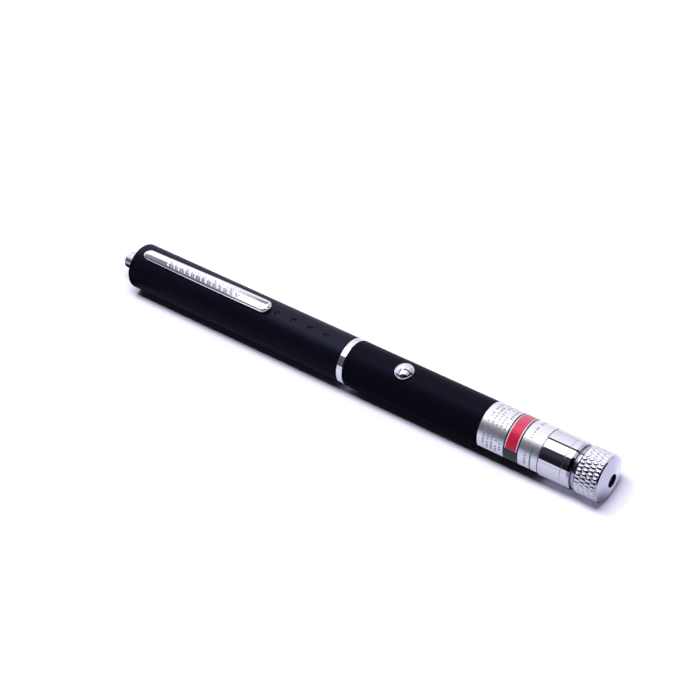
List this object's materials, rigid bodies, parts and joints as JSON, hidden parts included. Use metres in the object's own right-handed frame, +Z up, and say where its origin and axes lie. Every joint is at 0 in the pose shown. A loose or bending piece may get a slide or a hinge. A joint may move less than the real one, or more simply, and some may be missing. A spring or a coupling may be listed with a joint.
{
  "type": "laser pointer",
  "caption": "Pen-type laser pointer with a sprung pocket clip, a push button, an unscrewing battery barrel and a turning pattern cap over the beam hole.",
  "frame": {"origin": "bottom centre of the pen's box, on the surface that the barrel lies on", "axes": "+X along the pen's axis towards the beam end, +Z up through the clip and the button"},
  "size_m": [0.1716, 0.014, 0.0156],
  "materials": {
    "soft_touch_black": "matte",
    "chrome": "polished",
    "brass": "satin",
    "label_foil": "satin",
    "circuit_board": "satin",
    "black_plastic": "matte",
    "steel": "satin",
    "tin_solder": "satin",
    "cell_can": "satin",
    "cell_wrap": "gloss",
    "white_plastic": "satin",
    "ceramic_brown": "matte",
    "blue_plastic": "gloss",
    "optical_glass": "gloss",
    "filter_glass": "gloss",
    "laser_crystal": "gloss",
    "grating_film": "gloss",
    "gold_plate": "polished"
  },
  "bodies": {
    "front_section": {"front_barrel": "soft_touch_black", "centre_ring": "chrome", "thread_coupling": "brass", "label_foil": "label_foil", "nose_sleeve": "chrome", "contact_disc": "circuit_board", "contact_rivet": "brass", "circuit_board": "circuit_board", "driver_chip": "black_plastic", "chip_legs": "tin_solder", "trimmer_base": "blue_plastic", "capacitors": "ceramic_brown", "resistors": "black_plastic", "switch_base": "black_plastic", "switch_cover": "steel", "switch_dome": "steel", "switch_legs": "tin_solder", "module_housing": "brass", "diode_can": "gold_plate", "diode_leads": "gold_plate", "crystal_holder": "brass", "crystal_block": "laser_crystal", "expander_holder": "brass", "expander_lens": "optical_glass", "collimator_holder": "brass", "collimating_lens": "optical_glass", "infrared_filter": "filter_glass"},
    "rear_section": {"rear_barrel": "soft_touch_black", "tail_post": "chrome", "tail_spring": "steel", "cell_1_can": "cell_can", "cell_1_wrap": "cell_wrap", "cell_1_washer": "white_plastic", "cell_2_can": "cell_can", "cell_2_wrap": "cell_wrap", "cell_2_washer": "white_plastic"},
    "pocket_clip": {"pocket_clip": "chrome"},
    "push_button": {"button_cap": "chrome", "switch_plunger": "black_plastic"},
    "star_cap_base": {"star_base": "chrome", "fixed_grating": "grating_film", "snap_ring": "steel"},
    "star_cap_head": {"star_head": "chrome", "turning_grating": "grating_film"},
    "current_trimmer": {"trimmer_rotor": "brass"}
  },
  "joints": [
    {"name": "rear_section_slide", "type": "slide", "parent": "front_section", "child": "rear_section", "axis": [-1, 0, 0], "range_m": [0, 0.03]},
    {"name": "clip_hinge", "type": "hinge", "parent": "rear_section", "child": "pocket_clip", "pos_m": [-0.0764, 0, 0.014], "axis": [0, -1, 0], "range_deg": [0, 3], "stiffness_Nm_per_rad": 0.05},
    {"name": "button_press", "type": "slide", "parent": "front_section", "child": "push_button", "axis": [0, 0, -1], "range_m": [0, 0.0004], "stiffness_N_per_m": 400},
    {"name": "star_cap_slide", "type": "slide", "parent": "front_section", "child": "star_cap_base", "axis": [1, 0, 0], "range_m": [0, 0.01]},
    {"name": "star_head_turn", "type": "hinge", "parent": "star_cap_base", "child": "star_cap_head", "pos_m": [0.0812, 0, 0.007], "axis": [1, 0, 0], "continuous": true},
    {"name": "trimmer_turn", "type": "hinge", "parent": "front_section", "child": "current_trimmer", "pos_m": [0.032, 0, 0.0085], "axis": [0, 0, 1], "range_deg": [-130, 130]}
  ]
}
